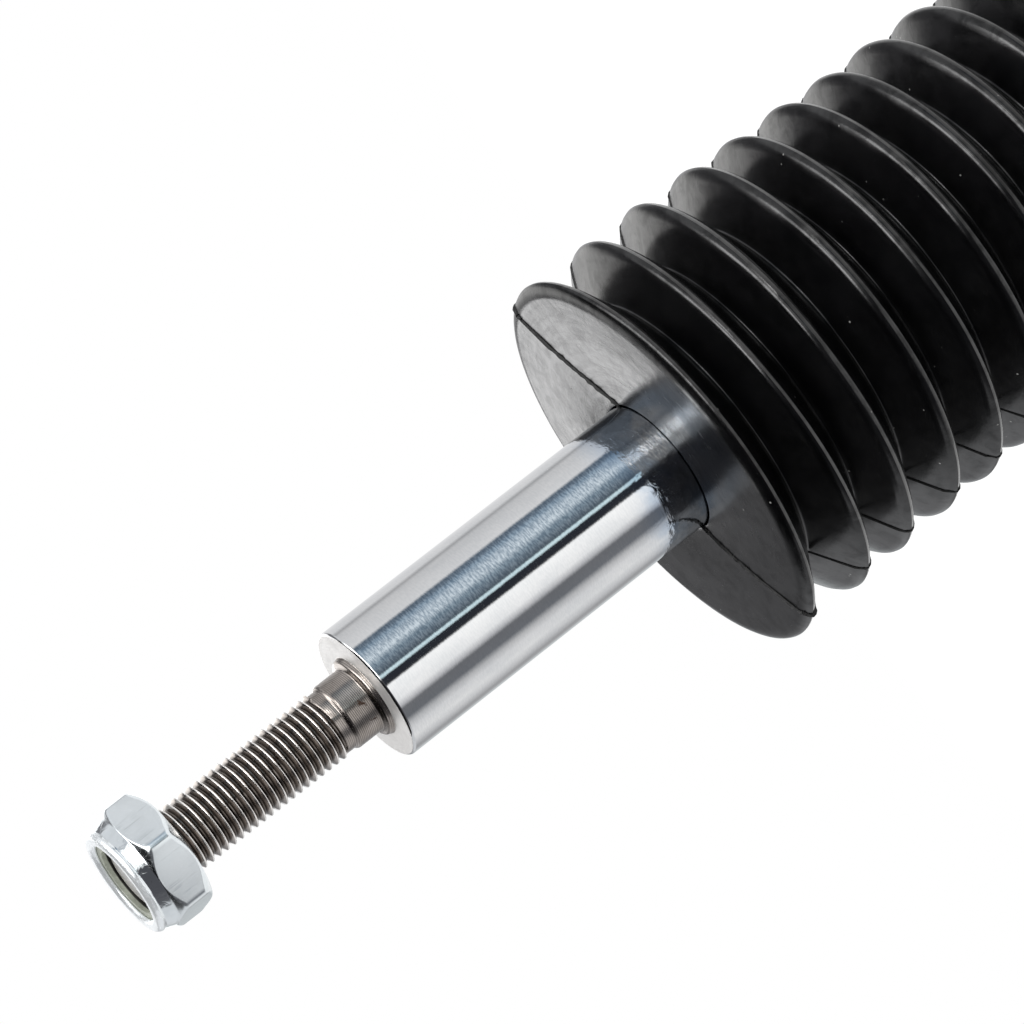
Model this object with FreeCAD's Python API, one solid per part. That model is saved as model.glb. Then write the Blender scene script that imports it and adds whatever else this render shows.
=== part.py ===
"""Damper strut of a coilover: rod, dust boot, threaded body, spring collar and knuckle bracket.

Millimetres. The strut's axis is Z. The origin is on that axis, in the plane of the rod's end face,
where a top mount seats. +Z points out of the stud, so everything but the stud and its nut lies below.
"""
import FreeCAD, Part
import math
import os

V = FreeCAD.Vector
AXIS = V(0, 0, 1)
HEX_SIDES = 6
NUT_CHAMFER_ANGLE = 30.0
CREST_FLAT_SHARE = 1 / 8

# Rod and stud
rod_d = 20.0
rod_end_chamfer = 0.5
shank_d = 10.0
shank_length = 5.0
relief_d = 9.2
relief_length = 1.8
stud_thread_d = 9.9
stud_pitch = 1.25
stud_thread_depth = 0.72
stud_length = 40.0
stud_tip_chamfer = 0.8

# Lock nut on the stud
nut_across_flats = 17.0
nut_seat_height = 33.0
nut_hex_height = 6.0
nut_height = 8.5
nut_collar_d = 16.4
nut_collar_rounding = 2.0
nut_corner_chamfer = 1.4
nut_corner_angle = 40.0
nut_insert_height = 2.0
nut_insert_section = 1.7
nut_lip_overlap = 0.7
nut_lip_thickness = 0.7

# Dust boot
exposed_rod = 53.5
boot_folds = 16
boot_tapered_folds = 8
boot_top_crest_d = 60.2
boot_low_crest_d = 57.2
boot_valley_d = 45.2
boot_wall = 1.4
boot_crest_rounding = 1.9
boot_valley_rounding = 1.1
boot_first_fold_extra = 1.35
boot_lip_to_crest = 0.4
boot_face_rise = 2.2
boot_face_rise_place = 0.7
boot_hub_rise = 1.5
boot_hub_width = 4.0
boot_cuff_length = 13.0
clamp_width = 7.0
clamp_thickness = 0.8
clamp_ear_width = 7.0
clamp_ear_height = 3.0

# Bump stop on the rod
bump_stop_drop = 6.5
bump_stop_length = 38.0
bump_stop_d = 37.0
bump_stop_waist = 3.0
bump_stop_nose = 4.0
bump_stop_bellies = 3

# Travel
stroke = 85.0
bump_clearance = 0.6
rebound_clearance = 0.3
bottom_clearance = 5.0

# Cylinder and body tube
cylinder_bore_d = 32.0
cylinder_wall = 1.5
reservoir_gap = 3.5
body_wall = 4.0
body_pitch = 2.0
body_thread_depth = 1.2
body_thread_length = 88.0
body_neck_length = 16.0
body_neck_step = 0.3
body_top_chamfer = 0.6

# Head of the body: ring nut, wiper, seal, guide, bush
ring_nut_height = 10.0
ring_nut_rod_gap = 0.6
ring_nut_key_holes = 4
ring_nut_key_d = 4.0
ring_nut_key_depth = 4.0
wiper_section = 4.0
wiper_height = 4.0
wiper_recess = 0.3
seal_section = 5.5
seal_height = 7.0
guide_flange_height = 10.0
guide_spigot_height = 8.0
bush_wall = 1.5
bush_length = 9.0
o_ring_height = 2.6
o_ring_section = 2.0
o_ring_depth = 5.0

# Rebound stop on the rod
rebound_buffer_length = 12.0
rebound_stop_length = 6.0
rebound_annulus = 1.5
rod_below_stop = 8.0

# Piston and its valve
piston_spigot_d = 12.0
piston_height = 16.0
piston_annulus = 0.3
band_width = 10.0
band_section = 1.8
port_count = 6
port_d = 3.6
valve_washer_d = 22.0
valve_washer_thickness = 2.5
shim_count = 4
shim_thickness = 0.4
shim_largest_d = 27.0
shim_step_d = 2.5
piston_nut_across_flats = 19.0
piston_nut_height = 9.0
spigot_tip = 1.5

# Foot valve and bottom cup
foot_spigot_height = 6.0
foot_flange_height = 5.0
foot_feet_height = 4.0
foot_feet_count = 4
foot_feet_gap = 8.0
foot_port_count = 6
foot_port_d = 3.0
foot_bolt_d = 6.0
foot_bolt_head_d = 11.0
foot_bolt_head_height = 4.0
foot_shim_largest_d = 24.0
cup_thickness = 5.0
cup_plug_height = 5.0
cup_edge_chamfer = 1.0

# Knuckle bracket and brake hose tab
bracket_sheet = 4.0
bracket_height = 84.0
bracket_gap = 36.0
bracket_reach = 74.0
bracket_corner = 14.0
bracket_bend = 4.0
bolt_hole_d = 12.3
bolt_spacing = 56.0
bolt_axis_reach = 56.0
hose_tab_thickness = 2.5
hose_tab_width = 24.0
hose_tab_reach = 26.0
hose_hole_d = 10.5
hose_tab_drop = 30.0
hose_tab_corner = 6.0

# Spring seat, adjuster collar and lock ring
seat_below_neck = 30.0
seat_flange_d = 86.0
seat_flange_height = 5.0
seat_spigot_d = 60.0
seat_spigot_height = 9.0
seat_edge_chamfer = 1.2
collar_d = 74.0
collar_height = 13.0
lock_ring_d = 70.0
lock_ring_height = 8.0
spanner_slots = 8
spanner_slot_width = 8.0
spanner_slot_depth = 3.5
ring_chamfer = 1.0

# Clearances
running_fit = 0.05
seal_fit = 0.03
thread_fit = 0.06
static_fit = 0.02
thrust_gap = 0.1
weld_fit = 0.05

# Radii worked out from the sizes above
rod_r = rod_d / 2
shank_r = shank_d / 2
stud_r = stud_thread_d / 2
cylinder_r = cylinder_bore_d / 2
cylinder_outer_r = cylinder_r + cylinder_wall
tube_bore_r = cylinder_outer_r + reservoir_gap
tube_r = tube_bore_r + body_wall
neck_r = tube_r - body_thread_depth - body_neck_step
spigot_r = piston_spigot_d / 2
foot_bolt_r = foot_bolt_d / 2
cuff_inner_r = neck_r + static_fit
cuff_outer_r = cuff_inner_r + boot_wall
clamp_inner_r = cuff_outer_r + static_fit
bracket_inner_r = tube_r + weld_fit
bracket_outer_r = bracket_inner_r + bracket_sheet

# Levels down the axis, worked out from the sizes above
lip_z = -exposed_rod
bump_stop_top = lip_z - bump_stop_drop
bump_stop_bottom = bump_stop_top - bump_stop_length
head_z = bump_stop_bottom - stroke - bump_clearance
neck_bottom = head_z - body_neck_length
guide_top = head_z - ring_nut_height
guide_flange_bottom = guide_top - guide_flange_height
guide_bottom = guide_flange_bottom - guide_spigot_height
buffer_top = guide_bottom - rebound_clearance
stop_top = buffer_top - rebound_buffer_length
stop_bottom = stop_top - rebound_stop_length
rod_shoulder = stop_bottom - rod_below_stop
shim_stack = shim_count * shim_thickness
upper_shims_top = rod_shoulder - valve_washer_thickness
piston_top = upper_shims_top - shim_stack
piston_bottom = piston_top - piston_height
lower_washer_top = piston_bottom - shim_stack
piston_nut_top = lower_washer_top - valve_washer_thickness
piston_nut_bottom = piston_nut_top - piston_nut_height
rod_bottom = piston_nut_bottom - spigot_tip
foot_bolt_top = rod_bottom - stroke - bottom_clearance
foot_top = foot_bolt_top - foot_bolt_head_height - shim_stack
cylinder_bottom = foot_top - foot_spigot_height
foot_flange_bottom = cylinder_bottom - foot_flange_height
foot_bottom = foot_flange_bottom - foot_feet_height
tube_bottom = foot_bottom - cup_plug_height
seat_top = neck_bottom - seat_below_neck
collar_top = seat_top - seat_flange_height - thrust_gap
lock_ring_top = collar_top - collar_height
bracket_bottom = tube_bottom
bracket_top = bracket_bottom + bracket_height
bolt_mid_z = bracket_bottom + bracket_height / 2


def revolved(points):
    """Solid of revolution about Z from a closed outline of (radius, height) points."""
    corners = [V(r, 0, z) for r, z in points]
    outline = Part.makePolygon(corners + corners[:1])
    return Part.Face(outline).revolve(V(0, 0, 0), AXIS, 360)


def ring(inner_r, outer_r, low, high, chamfer=0.0):
    """Plain ring, with an optional chamfer on both outer edges."""
    points = [(inner_r, low), (outer_r - chamfer, low), (outer_r, low + chamfer)]
    points += [(outer_r, high - chamfer), (outer_r - chamfer, high), (inner_r, high)]
    if not chamfer:
        points = [(inner_r, low), (outer_r, low), (outer_r, high), (inner_r, high)]
    return revolved(points)


def cylinder(radius, low, high, x=0.0):
    """Upright cylinder between two levels, on the axis or beside it."""
    return Part.makeCylinder(radius, high - low, V(x, 0, low), AXIS)


def around_axis(shape, count):
    """The same shape repeated at equal angles about Z."""
    copies = []
    for index in range(count):
        copy = shape.copy()
        copy.rotate(V(0, 0, 0), AXIS, 360.0 * index / count)
        copies.append(copy)
    return copies


def prism(corners, low, high):
    """Upright prism from (x, y) corners."""
    points = [V(x, y, low) for x, y in corners]
    outline = Part.makePolygon(points + points[:1])
    return Part.Face(outline).extrude(V(0, 0, high - low))


def hexagon(across_flats, low, high, chamfer, corner_angle=0.0):
    """Hexagonal prism with its six corners turned off at both ends."""
    corner_r = across_flats / 2 / math.cos(math.pi / HEX_SIDES)
    turns = [math.radians(corner_angle + 360.0 * index / HEX_SIDES) for index in range(HEX_SIDES)]
    blank = prism([(corner_r * math.cos(turn), corner_r * math.sin(turn)) for turn in turns], low, high)
    drop = chamfer * math.tan(math.radians(NUT_CHAMFER_ANGLE))
    turned = [(0, low), (corner_r - chamfer, low), (corner_r, low + drop)]
    turned += [(corner_r, high - drop), (corner_r - chamfer, high), (0, high)]
    return blank.common(revolved(turned))


def thread_points(major_r, depth, pitch, low, high):
    """Outline points of a ring-grooved thread, from the lower end to the upper end."""
    turns = int((high - low) / pitch)
    start = low + ((high - low) - turns * pitch) / 2
    crest_flat = pitch * CREST_FLAT_SHARE
    points = []
    for turn in range(turns):
        base = start + turn * pitch
        points.append((major_r, base + crest_flat / 2))
        points.append((major_r - depth, base + pitch / 2))
        points.append((major_r, base + pitch - crest_flat / 2))
    return points


def export(name, *solids):
    """Write one named piece; several solids go into one file side by side."""
    shape = solids[0] if len(solids) == 1 else Part.makeCompound(list(solids))
    if not shape.isValid():
        raise ValueError(name + " is not a valid shape")
    shape.exportStep(os.path.join("parts", name + ".step"))


def piston_rod():
    """Chrome rod in one piece with the stud above and the piston's spigot below."""
    relief_bottom = shank_length
    thread_bottom = shank_length + relief_length
    tip = stud_length
    thread_top = tip - stud_tip_chamfer
    points = [(0, rod_bottom), (spigot_r - rod_end_chamfer, rod_bottom)]
    points += [(spigot_r, rod_bottom + rod_end_chamfer), (spigot_r, rod_shoulder)]
    points += [(rod_r - rod_end_chamfer, rod_shoulder), (rod_r, rod_shoulder + rod_end_chamfer)]
    points += [(rod_r, -rod_end_chamfer), (rod_r - rod_end_chamfer, 0)]
    points += [(shank_r, 0), (shank_r, relief_bottom)]
    points += [(relief_d / 2, relief_bottom), (relief_d / 2, thread_bottom), (stud_r, thread_bottom)]
    points += thread_points(stud_r, stud_thread_depth, stud_pitch, thread_bottom, thread_top)
    points += [(stud_r, thread_top), (stud_r - stud_tip_chamfer, tip), (0, tip)]
    return revolved(points)


def insert_pocket():
    """Inner radius, outer radius, bottom and top of the nylon ring in the nut's collar."""
    inner_r = stud_r + thread_fit
    top = nut_seat_height + nut_height - nut_lip_thickness
    return inner_r, inner_r + nut_insert_section, top - nut_insert_height, top


def lock_nut():
    """Hexagon nut with a rounded collar that is closed over the nylon ring."""
    low = nut_seat_height
    hex_top = low + nut_hex_height
    top = low + nut_height
    collar_r = nut_collar_d / 2
    collar = cylinder(collar_r, low + nut_hex_height / 2, top)
    rim = [edge for edge in collar.Edges if edge.BoundBox.ZMin > top - static_fit]
    collar = collar.makeFillet(nut_collar_rounding, rim)
    body = hexagon(nut_across_flats, low, hex_top, nut_corner_chamfer, nut_corner_angle).fuse(collar)
    inner_r, outer_r, pocket_low, pocket_high = insert_pocket()
    bore = cylinder(inner_r, low, pocket_low + running_fit)
    pocket = cylinder(outer_r + running_fit, pocket_low - running_fit, pocket_high + running_fit)
    mouth = cylinder(outer_r - nut_lip_overlap, pocket_high, top)
    return body.cut(bore).cut(pocket).cut(mouth).removeSplitter()


def lock_nut_insert():
    """Nylon locking ring."""
    inner_r, outer_r, low, high = insert_pocket()
    return ring(inner_r, outer_r, low, high)


def smooth(share):
    """Ease from 0 to 1, flat outside that range."""
    share = min(max(share, 0.0), 1.0)
    return share * share * (3 - 2 * share)


def boot_levels():
    """Level of each crest, and of the last valley, where the cuff begins."""
    first = lip_z - boot_lip_to_crest
    last_valley = head_z - boot_wall
    pitch = (first - last_valley - boot_first_fold_extra) / (boot_folds - 0.5)
    crests = [first]
    for fold in range(1, boot_folds):
        crests.append(first - boot_first_fold_extra - fold * pitch)
    return crests, last_valley


def crest_radius(fold):
    """Outer radius of one fold: the upper folds are a little wider."""
    widening = (boot_top_crest_d - boot_low_crest_d) / 2
    return boot_low_crest_d / 2 + widening * (1 - smooth(fold / boot_tapered_folds))


def flank(crest, crest_rounding, valley, valley_rounding):
    """Ends of the straight flank that touches a crest's circle and a valley's circle."""
    gap = (valley[0] - crest[0], valley[1] - crest[1])
    distance = math.hypot(gap[0], gap[1])
    along = (gap[0] / distance, gap[1] / distance)
    cosine = (crest_rounding + valley_rounding) / distance
    sine = math.sqrt(1 - cosine * cosine)
    side = 1 if along[1] < 0 else -1
    normal_r = cosine * along[0] - side * sine * along[1]
    normal_z = cosine * along[1] + side * sine * along[0]
    start = (crest[0] + crest_rounding * normal_r, crest[1] + crest_rounding * normal_z)
    end = (valley[0] - valley_rounding * normal_r, valley[1] - valley_rounding * normal_z)
    return start, end


def arc_middle(centre, start, end):
    """Point of a circle halfway between two of its points."""
    chord = ((start[0] + end[0]) / 2, (start[1] + end[1]) / 2)
    radius = math.hypot(start[0] - centre[0], start[1] - centre[1])
    scale = radius / math.hypot(chord[0] - centre[0], chord[1] - centre[1])
    return tuple(c + scale * (p - c) for c, p in zip(centre, chord))


def boot_wave(inset):
    """Edges and end points of the boot's folds, moved inwards by the inset from the outside face."""
    levels, last_valley = boot_levels()
    crest_rounding = boot_crest_rounding - inset
    valley_rounding = boot_valley_rounding + inset
    crests = [(crest_radius(fold) - boot_crest_rounding, z) for fold, z in enumerate(levels)]
    valley_r = boot_valley_d / 2 + boot_valley_rounding
    valleys = [(valley_r, (upper + lower) / 2) for upper, lower in zip(levels, levels[1:])]
    valleys.append((cuff_outer_r + boot_valley_rounding, last_valley))
    path = []
    arrive = (crests[0][0], crests[0][1] + crest_rounding)
    begin = arrive
    for fold, crest in enumerate(crests):
        leave, foot = flank(crest, crest_rounding, valleys[fold], valley_rounding)
        path.append(("arc", arrive, (crest[0] + crest_rounding, crest[1]), leave))
        path.append(("line", leave, foot))
        bottom = (valleys[fold][0] - valley_rounding, valleys[fold][1])
        if fold + 1 < boot_folds:
            arrive, rise = flank(crests[fold + 1], crest_rounding, valleys[fold], valley_rounding)
            path.append(("arc", foot, bottom, rise))
            path.append(("line", rise, arrive))
    path.append(("arc", foot, arc_middle(valleys[-1], foot, bottom), bottom))
    return path, begin, bottom


def front_face(inset, rim):
    """Top disc of the boot, from the lip on the rod out to the first crest."""
    rim_z = lip_z - boot_lip_to_crest
    lip_r = rod_r + seal_fit
    hub_r = lip_r + boot_hub_width
    lip = (lip_r, lip_z - inset)
    hub = (hub_r, rim_z + boot_hub_rise - inset)
    rise = (lip_r + (rim[0] - lip_r) * boot_face_rise_place, rim_z + boot_face_rise - inset)
    return [("line", lip, hub), ("arc", hub, rise, rim)], lip


def edge_of(step):
    """Edge in the XZ plane from a described line or arc."""
    points = [V(r, 0, z) for r, z in step[1:]]
    if step[0] == "line":
        return Part.LineSegment(*points).toShape()
    return Part.Arc(*points).toShape()


def dust_boot():
    """Rubber bellows: closed top disc with a lip, folds, and a plain cuff on the body's neck."""
    outside, outer_rim, outer_cuff = boot_wave(0.0)
    inside, inner_rim, inner_cuff = boot_wave(boot_wall)
    outer_face, outer_lip = front_face(0.0, outer_rim)
    inner_face, inner_lip = front_face(boot_wall, inner_rim)
    cuff_bottom = outer_cuff[1] - boot_cuff_length
    steps = outer_face + outside
    steps.append(("line", outer_cuff, (outer_cuff[0], cuff_bottom)))
    steps.append(("line", (outer_cuff[0], cuff_bottom), (inner_cuff[0], cuff_bottom)))
    steps.append(("line", (inner_cuff[0], cuff_bottom), inner_cuff))
    for step in reversed(inner_face + inside):
        steps.append((step[0],) + tuple(reversed(step[1:])))
    steps.append(("line", inner_lip, outer_lip))
    wire = Part.Wire(Part.__sortEdges__([edge_of(step) for step in steps]))
    return Part.Face(wire).revolve(V(0, 0, 0), AXIS, 360)


def boot_clamp():
    """Ear clamp: a thin band round the boot's cuff, with its pinched ear."""
    cuff_top = head_z - boot_wall
    low = cuff_top - boot_cuff_length / 2 - clamp_width / 2
    high = low + clamp_width
    band_r = clamp_inner_r + clamp_thickness
    ear = Part.makeBox(clamp_ear_height + clamp_thickness, clamp_ear_width, clamp_width)
    ear.translate(V(clamp_inner_r + clamp_thickness / 2, -clamp_ear_width / 2, low))
    rims = [edge for edge in ear.Edges
            if edge.BoundBox.XMin > band_r and edge.BoundBox.ZLength > clamp_width / 2]
    ear = ear.makeFillet(clamp_ear_height / 2, rims)
    return ring(clamp_inner_r, band_r, low, high).fuse(ear)


def bump_stop():
    """Foam buffer with several bellies and a narrower nose at the bottom."""
    inner_r = rod_r + static_fit
    belly_r = bump_stop_d / 2
    waist_r = belly_r - bump_stop_waist
    half_belly = bump_stop_length / bump_stop_bellies / 2
    points = [(inner_r, bump_stop_bottom), (belly_r - bump_stop_nose, bump_stop_bottom)]
    for belly in range(bump_stop_bellies):
        base = bump_stop_bottom + 2 * belly * half_belly
        points.append((belly_r, base + half_belly))
        points.append((waist_r, base + 2 * half_belly))
    points.append((inner_r, bump_stop_top))
    return revolved(points)


def ring_nut():
    """Closing nut at the top of the body, with a wiper seat and spanner holes."""
    body = ring(rod_r + ring_nut_rod_gap, tube_bore_r - thread_fit, guide_top, head_z)
    seat = cylinder(rod_r + wiper_section + static_fit, head_z - wiper_recess - wiper_height, head_z)
    key_reach = (rod_r + wiper_section + tube_bore_r) / 2
    key = cylinder(ring_nut_key_d / 2, head_z - ring_nut_key_depth, head_z, x=key_reach)
    return body.cut(seat).cut(Part.makeCompound(around_axis(key, ring_nut_key_holes)))


def rod_wiper():
    """Scraper ring in the ring nut."""
    high = head_z - wiper_recess
    return ring(rod_r + seal_fit, rod_r + wiper_section, high - wiper_height, high)


def rod_seal():
    """Oil seal in the guide's pocket."""
    return ring(rod_r + seal_fit, rod_r + seal_section, guide_top - seal_height, guide_top)


def o_ring_levels():
    """Bottom and top of the static seal's groove."""
    high = guide_top - o_ring_depth
    return high - o_ring_height, high


def rod_guide():
    """Guide: a flange in the body tube and a spigot in the inner cylinder."""
    flange_r = tube_bore_r - static_fit
    bush_r = rod_r + bush_wall + static_fit
    points = [(bush_r, guide_bottom), (cylinder_r - static_fit, guide_bottom)]
    points += [(cylinder_r - static_fit, guide_flange_bottom), (flange_r, guide_flange_bottom)]
    points += [(flange_r, guide_top), (bush_r, guide_top)]
    pocket = cylinder(rod_r + seal_section + static_fit, guide_top - seal_height, guide_top)
    low, high = o_ring_levels()
    groove = ring(tube_bore_r - o_ring_section, tube_bore_r, low, high)
    return revolved(points).cut(pocket).cut(groove)


def guide_bush():
    """Plain bearing bush in the guide."""
    return ring(rod_r + running_fit, rod_r + bush_wall, guide_bottom, guide_bottom + bush_length)


def guide_o_ring():
    """Static seal between the guide and the body tube."""
    low, high = o_ring_levels()
    inner_r = tube_bore_r - o_ring_section + static_fit
    return ring(inner_r, tube_bore_r - static_fit, low + static_fit, high - static_fit)


def body_tube():
    """Outer tube: plain neck for the boot, adjuster thread, plain lower end."""
    thread_low = neck_bottom - body_thread_length
    root_r = tube_r - body_thread_depth
    points = [(tube_bore_r, tube_bottom), (tube_r, tube_bottom), (tube_r, thread_low)]
    points += thread_points(tube_r, body_thread_depth, body_pitch, thread_low, neck_bottom)
    points += [(root_r, neck_bottom), (neck_r, neck_bottom), (neck_r, head_z - body_top_chamfer)]
    points += [(neck_r - body_top_chamfer, head_z), (tube_bore_r, head_z)]
    return revolved(points)


def inner_cylinder():
    """Pressure tube between the guide and the foot valve."""
    return ring(cylinder_r, cylinder_outer_r, cylinder_bottom, guide_flange_bottom)


def rebound_buffer():
    """Soft top-out ring under the guide."""
    return ring(rod_r + static_fit, cylinder_r - rebound_annulus, stop_top, buffer_top)


def rebound_stop():
    """Steel collar on the rod under the buffer."""
    return ring(rod_r + static_fit, cylinder_r - rebound_annulus, stop_bottom, stop_top)


def shims(count, largest_d, bore_r, start, direction):
    """Stack of spring discs, largest against the valve face, getting smaller away from it."""
    stack = []
    for index in range(count):
        near = start + direction * index * shim_thickness
        far = near + direction * shim_thickness
        outer_r = (largest_d - index * shim_step_d) / 2
        stack.append(ring(bore_r + static_fit, outer_r, min(near, far), max(near, far)))
    return stack


def piston():
    """Damper piston with axial ports and a groove for its band."""
    body = ring(spigot_r + static_fit, cylinder_r - piston_annulus, piston_bottom, piston_top)
    low = piston_bottom + (piston_height - band_width) / 2
    groove_r = cylinder_r - running_fit - band_section
    groove = ring(groove_r, cylinder_r, low, low + band_width)
    port = cylinder(port_d / 2, piston_bottom, piston_top, x=(spigot_r + groove_r) / 2)
    return body.cut(groove).cut(Part.makeCompound(around_axis(port, port_count)))


def piston_band():
    """Slippery band in the piston's groove, which runs along the cylinder."""
    low = piston_bottom + (piston_height - band_width) / 2
    inner_r = cylinder_r - band_section
    return ring(inner_r, cylinder_r - running_fit, low + running_fit, low + band_width - running_fit)


def valve_washers():
    """Two support washers that back the shims, above and below the piston."""
    levels = [(upper_shims_top, rod_shoulder), (piston_nut_top, lower_washer_top)]
    return [ring(spigot_r + static_fit, valve_washer_d / 2, low, high) for low, high in levels]


def piston_nut():
    """Hexagon nut that holds the piston on the rod."""
    body = hexagon(piston_nut_across_flats, piston_nut_bottom, piston_nut_top, nut_corner_chamfer)
    return body.cut(cylinder(spigot_r + static_fit, piston_nut_bottom, piston_nut_top))


def base_valve():
    """Foot valve body: spigot in the cylinder, flange under it, and feet on the bottom cup."""
    flange_r = cylinder_outer_r
    points = [(0, foot_bottom), (flange_r, foot_bottom), (flange_r, cylinder_bottom)]
    points += [(cylinder_r - static_fit, cylinder_bottom), (cylinder_r - static_fit, foot_top), (0, foot_top)]
    body = revolved(points)
    well_r = cylinder_r - foot_feet_height
    body = body.cut(cylinder(well_r, foot_bottom, foot_flange_bottom))
    body = body.cut(cylinder(foot_bolt_r + static_fit, foot_bottom, foot_top))
    slot = Part.makeBox(flange_r * 2, foot_feet_gap, foot_feet_height)
    slot.translate(V(0, -foot_feet_gap / 2, foot_bottom))
    body = body.cut(Part.makeCompound(around_axis(slot, foot_feet_count)))
    port = cylinder(foot_port_d / 2, foot_bottom, foot_top, x=(foot_bolt_r + well_r) / 2)
    return body.cut(Part.makeCompound(around_axis(port, foot_port_count)))


def base_valve_bolt():
    """Bolt that clamps the foot valve's shims: round head above, plain end below."""
    head_bottom = foot_bolt_top - foot_bolt_head_height
    head = cylinder(foot_bolt_head_d / 2, head_bottom, foot_bolt_top)
    return head.fuse(cylinder(foot_bolt_r, foot_flange_bottom, head_bottom))


def base_cup():
    """Cup that closes the body's lower end: a plug in the tube and a dished cap."""
    plug_r = tube_bore_r - static_fit
    low = tube_bottom - cup_thickness
    points = [(0, low), (tube_r - cup_edge_chamfer, low), (tube_r, low + cup_edge_chamfer)]
    points += [(tube_r, tube_bottom), (plug_r, tube_bottom), (plug_r, foot_bottom), (0, foot_bottom)]
    return revolved(points)


def bracket_side():
    """Side view of the bracket, as (x, z) corners, with the ears' outer corners cut off."""
    top = bracket_top
    low = bracket_bottom
    near = -bracket_outer_r
    far = bracket_reach
    corners = [(near, low), (far - bracket_corner, low), (far, low + bracket_corner)]
    corners += [(far, top - bracket_corner), (far - bracket_corner, top), (near, top)]
    return corners


def bracket_slab(half_width):
    """Block from the axis to the ears' ends, as high as the bracket."""
    corners = [(0, -half_width), (bracket_reach, -half_width), (bracket_reach, half_width), (0, half_width)]
    return prism(corners, bracket_bottom, bracket_top)


def knuckle_bracket():
    """Sheet bracket wrapped round the body's lower end, with two parallel ears for the knuckle."""
    half_gap = bracket_gap / 2
    half_width = half_gap + bracket_sheet
    wrap = cylinder(bracket_outer_r, bracket_bottom, bracket_top)
    blank = wrap.fuse(bracket_slab(half_width)).removeSplitter()
    bends = [edge for edge in blank.Edges
             if edge.BoundBox.ZLength > bracket_height / 2 and 0 < edge.BoundBox.XMin < bracket_outer_r]
    blank = blank.makeFillet(bracket_bend, bends)
    blank = blank.cut(bracket_slab(half_gap)).cut(cylinder(bracket_inner_r, bracket_bottom, bracket_top))
    side_points = [V(x, -bracket_outer_r, z) for x, z in bracket_side()]
    side = Part.Face(Part.makePolygon(side_points + side_points[:1])).extrude(V(0, 2 * bracket_outer_r, 0))
    shaped = blank.common(side)
    for level in (bolt_mid_z - bolt_spacing / 2, bolt_mid_z + bolt_spacing / 2):
        start = V(bolt_axis_reach, -half_width, level)
        shaped = shaped.cut(Part.makeCylinder(bolt_hole_d / 2, 2 * half_width, start, V(0, 1, 0)))
    return shaped.removeSplitter()


def hose_bracket():
    """Brake hose tab welded to the back of the knuckle bracket."""
    high = bracket_top - hose_tab_drop
    low = high - hose_tab_thickness
    half = hose_tab_width / 2
    end = -bracket_outer_r - hose_tab_reach
    corners = [(0, -half), (end + hose_tab_corner, -half), (end, -half + hose_tab_corner)]
    corners += [(end, half - hose_tab_corner), (end + hose_tab_corner, half), (0, half)]
    tab = prism(corners, low, high).cut(cylinder(bracket_outer_r + weld_fit, low, high))
    hole_x = -bracket_outer_r - hose_tab_reach / 2
    return tab.cut(cylinder(hose_hole_d / 2, low, high, x=hole_x))


def spring_seat():
    """Lower spring seat: flange for the spring's end and a spigot inside the spring."""
    inner_r = tube_r + running_fit
    flange_r = seat_flange_d / 2
    collar_r = seat_spigot_d / 2
    low = seat_top - seat_flange_height
    high = seat_top + seat_spigot_height
    points = [(inner_r, low), (flange_r - seat_edge_chamfer, low), (flange_r, low + seat_edge_chamfer)]
    points += [(flange_r, seat_top), (collar_r, seat_top), (collar_r, high - seat_edge_chamfer)]
    points += [(collar_r - seat_edge_chamfer, high), (inner_r, high)]
    return revolved(points)


def slotted_ring(outer_d, low, high):
    """Threaded ring on the body with spanner slots round its edge."""
    outer_r = outer_d / 2
    blank = ring(tube_r + thread_fit, outer_r, low, high, ring_chamfer)
    slot = Part.makeBox(spanner_slot_depth * 2, spanner_slot_width, high - low)
    slot.translate(V(outer_r - spanner_slot_depth, -spanner_slot_width / 2, low))
    return blank.cut(Part.makeCompound(around_axis(slot, spanner_slots)))


def main():
    os.makedirs("parts", exist_ok=True)
    export("piston_rod", piston_rod())
    export("lock_nut", lock_nut())
    export("lock_nut_insert", lock_nut_insert())
    export("dust_boot", dust_boot())
    export("boot_clamp", boot_clamp())
    export("bump_stop", bump_stop())
    export("ring_nut", ring_nut())
    export("rod_wiper", rod_wiper())
    export("rod_seal", rod_seal())
    export("rod_guide", rod_guide())
    export("guide_bush", guide_bush())
    export("guide_o_ring", guide_o_ring())
    export("body_tube", body_tube())
    export("inner_cylinder", inner_cylinder())
    export("rebound_buffer", rebound_buffer())
    export("rebound_stop", rebound_stop())
    export("rebound_shims", *shims(shim_count, shim_largest_d, spigot_r, piston_top, 1))
    export("piston", piston())
    export("piston_band", piston_band())
    export("compression_shims", *shims(shim_count, shim_largest_d, spigot_r, piston_bottom, -1))
    export("valve_washers", *valve_washers())
    export("piston_nut", piston_nut())
    export("base_valve", base_valve())
    export("base_valve_shims", *shims(shim_count, foot_shim_largest_d, foot_bolt_r, foot_top, 1))
    export("base_valve_bolt", base_valve_bolt())
    export("base_cup", base_cup())
    export("knuckle_bracket", knuckle_bracket())
    export("hose_bracket", hose_bracket())
    export("spring_seat", spring_seat())
    export("adjuster_collar", slotted_ring(collar_d, lock_ring_top, collar_top))
    export("lock_ring", slotted_ring(lock_ring_d, lock_ring_top - lock_ring_height, lock_ring_top))


main()
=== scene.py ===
"""Looks of the coilover strut: modelled boot, rod, stud and nut, every finish, studio light and camera.

Sizes are millimetres in the strut's frame: Z is the axis, and the origin is in the rod's end face.
Meshes are scaled to metres when they are made.
"""
import math

import bmesh
import bpy
import numpy as np
from mathutils import Matrix, Vector


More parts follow.
